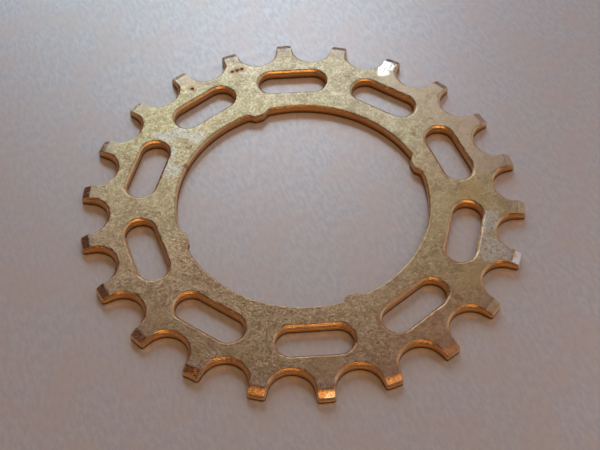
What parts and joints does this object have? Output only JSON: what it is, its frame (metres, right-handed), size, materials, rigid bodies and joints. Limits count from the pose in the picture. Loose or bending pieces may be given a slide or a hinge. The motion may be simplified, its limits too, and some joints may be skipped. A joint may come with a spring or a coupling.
{
  "type": "bicycle sprocket",
  "caption": "Toothed plate sprocket for a half-inch bicycle chain, with a large lugged bore, straight slots through its web and bevelled tooth tips.",
  "frame": {"origin": "centre of the bore on the back face, where the sprocket lies on a table", "axes": "+Z along the bore, out of the front face with the bevelled tooth tips; +X through a tooth gap, a slot and a bore lug; +Y through a tooth and a bore lug"},
  "size_m": [0.0928, 0.0932, 0.0023],
  "materials": {
    "plated_steel": "worn yellow plating over steel"
  },
  "bodies": {
    "root": {"sprocket": "plated_steel"}
  },
  "joints": []
}
